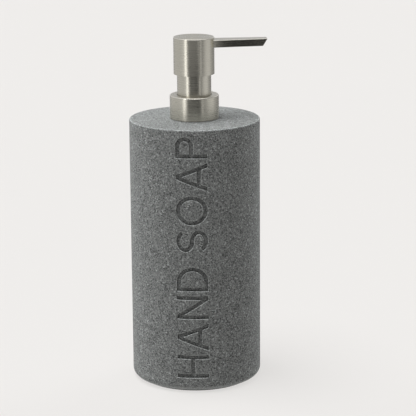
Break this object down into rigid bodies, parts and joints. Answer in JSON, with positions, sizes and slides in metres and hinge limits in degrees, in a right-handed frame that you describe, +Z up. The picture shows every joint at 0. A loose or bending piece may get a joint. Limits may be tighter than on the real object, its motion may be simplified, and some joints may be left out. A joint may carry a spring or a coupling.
{
  "type": "soap pump dispenser",
  "caption": "Round stone-effect bottle with an engraved upright word and a brushed steel screw-on pump with a flat swivelling spout.",
  "frame": {"origin": "centre of the flat rest face under the base pad, on the bottle's axis", "axes": "+Z up along the bottle and pump axis; -Y is the engraved front; +X is to the right of someone facing the front, and the spout at rest points 10.1 degrees behind +X"},
  "size_m": [0.0846, 0.08, 0.2137],
  "materials": {
    "stone_resin": "matte cast stone-effect resin with fine light and dark speckle",
    "brushed_shell": "warm grey brushed steel, brush lines running round the axis",
    "spout_steel": "warm grey brushed steel, brush lines running along the spout",
    "spring_steel": "bright drawn stainless wire",
    "ball_glass": "clear glass ball",
    "dark_plastic": "black moulded polypropylene, fine matte",
    "clear_plastic": "natural milky polypropylene",
    "white_plastic": "white moulded polyethylene",
    "soft_seal": "soft white seal",
    "foam_gasket": "foamed polyethylene gasket",
    "pad_rubber": "black non-slip foam rubber"
  },
  "bodies": {
    "bottle": {"stone_body": "stone_resin", "base_plate": "stone_resin", "base_pad": "pad_rubber", "neck_insert": "dark_plastic"},
    "pump_engine": {"gasket": "foam_gasket", "pump_housing": "clear_plastic", "ball_retainer": "clear_plastic", "dip_tube": "clear_plastic", "return_spring": "spring_steel", "stem_guide": "dark_plastic", "head_sleeve": "brushed_shell"},
    "collar": {"closure": "dark_plastic", "collar_shell": "brushed_shell"},
    "piston": {"piston_seal": "soft_seal", "spring_seat": "white_plastic"},
    "head": {"stem": "white_plastic", "head_core": "dark_plastic", "head_shell": "brushed_shell", "spout": "spout_steel", "spout_liner": "dark_plastic"},
    "inlet_valve": {"inlet_ball": "ball_glass"},
    "outlet_valve": {"outlet_ball": "ball_glass"}
  },
  "joints": [
    {"name": "pump_lift", "type": "slide", "parent": "bottle", "child": "pump_engine", "axis": [0, 0, 1], "range_m": [0, 0.00476]},
    {"name": "collar_turn", "type": "hinge", "parent": "pump_engine", "child": "collar", "pos_m": [0, 0, 0.171], "axis": [0, 0, 1], "range_deg": [0, 540]},
    {"name": "pump_press", "type": "slide", "parent": "pump_engine", "child": "piston", "axis": [0, 0, -1], "range_m": [0, 0.012], "stiffness_N_per_m": 1000, "springref_m": -0.012, "deforming": ["return_spring"]},
    {"name": "head_swivel", "type": "hinge", "parent": "piston", "child": "head", "pos_m": [0, 0, 0.2], "axis": [0, 0, 1], "continuous": true},
    {"name": "inlet_ball_lift", "type": "slide", "parent": "pump_engine", "child": "inlet_valve", "axis": [0, 0, 1], "range_m": [0, 0.0012]},
    {"name": "outlet_ball_lift", "type": "slide", "parent": "head", "child": "outlet_valve", "axis": [0, 0, 1], "range_m": [0, 0.0012]}
  ],
  "couplings": [
    {"joint": "collar_turn", "follows": "pump_lift", "rad_per_m": 1979}
  ]
}
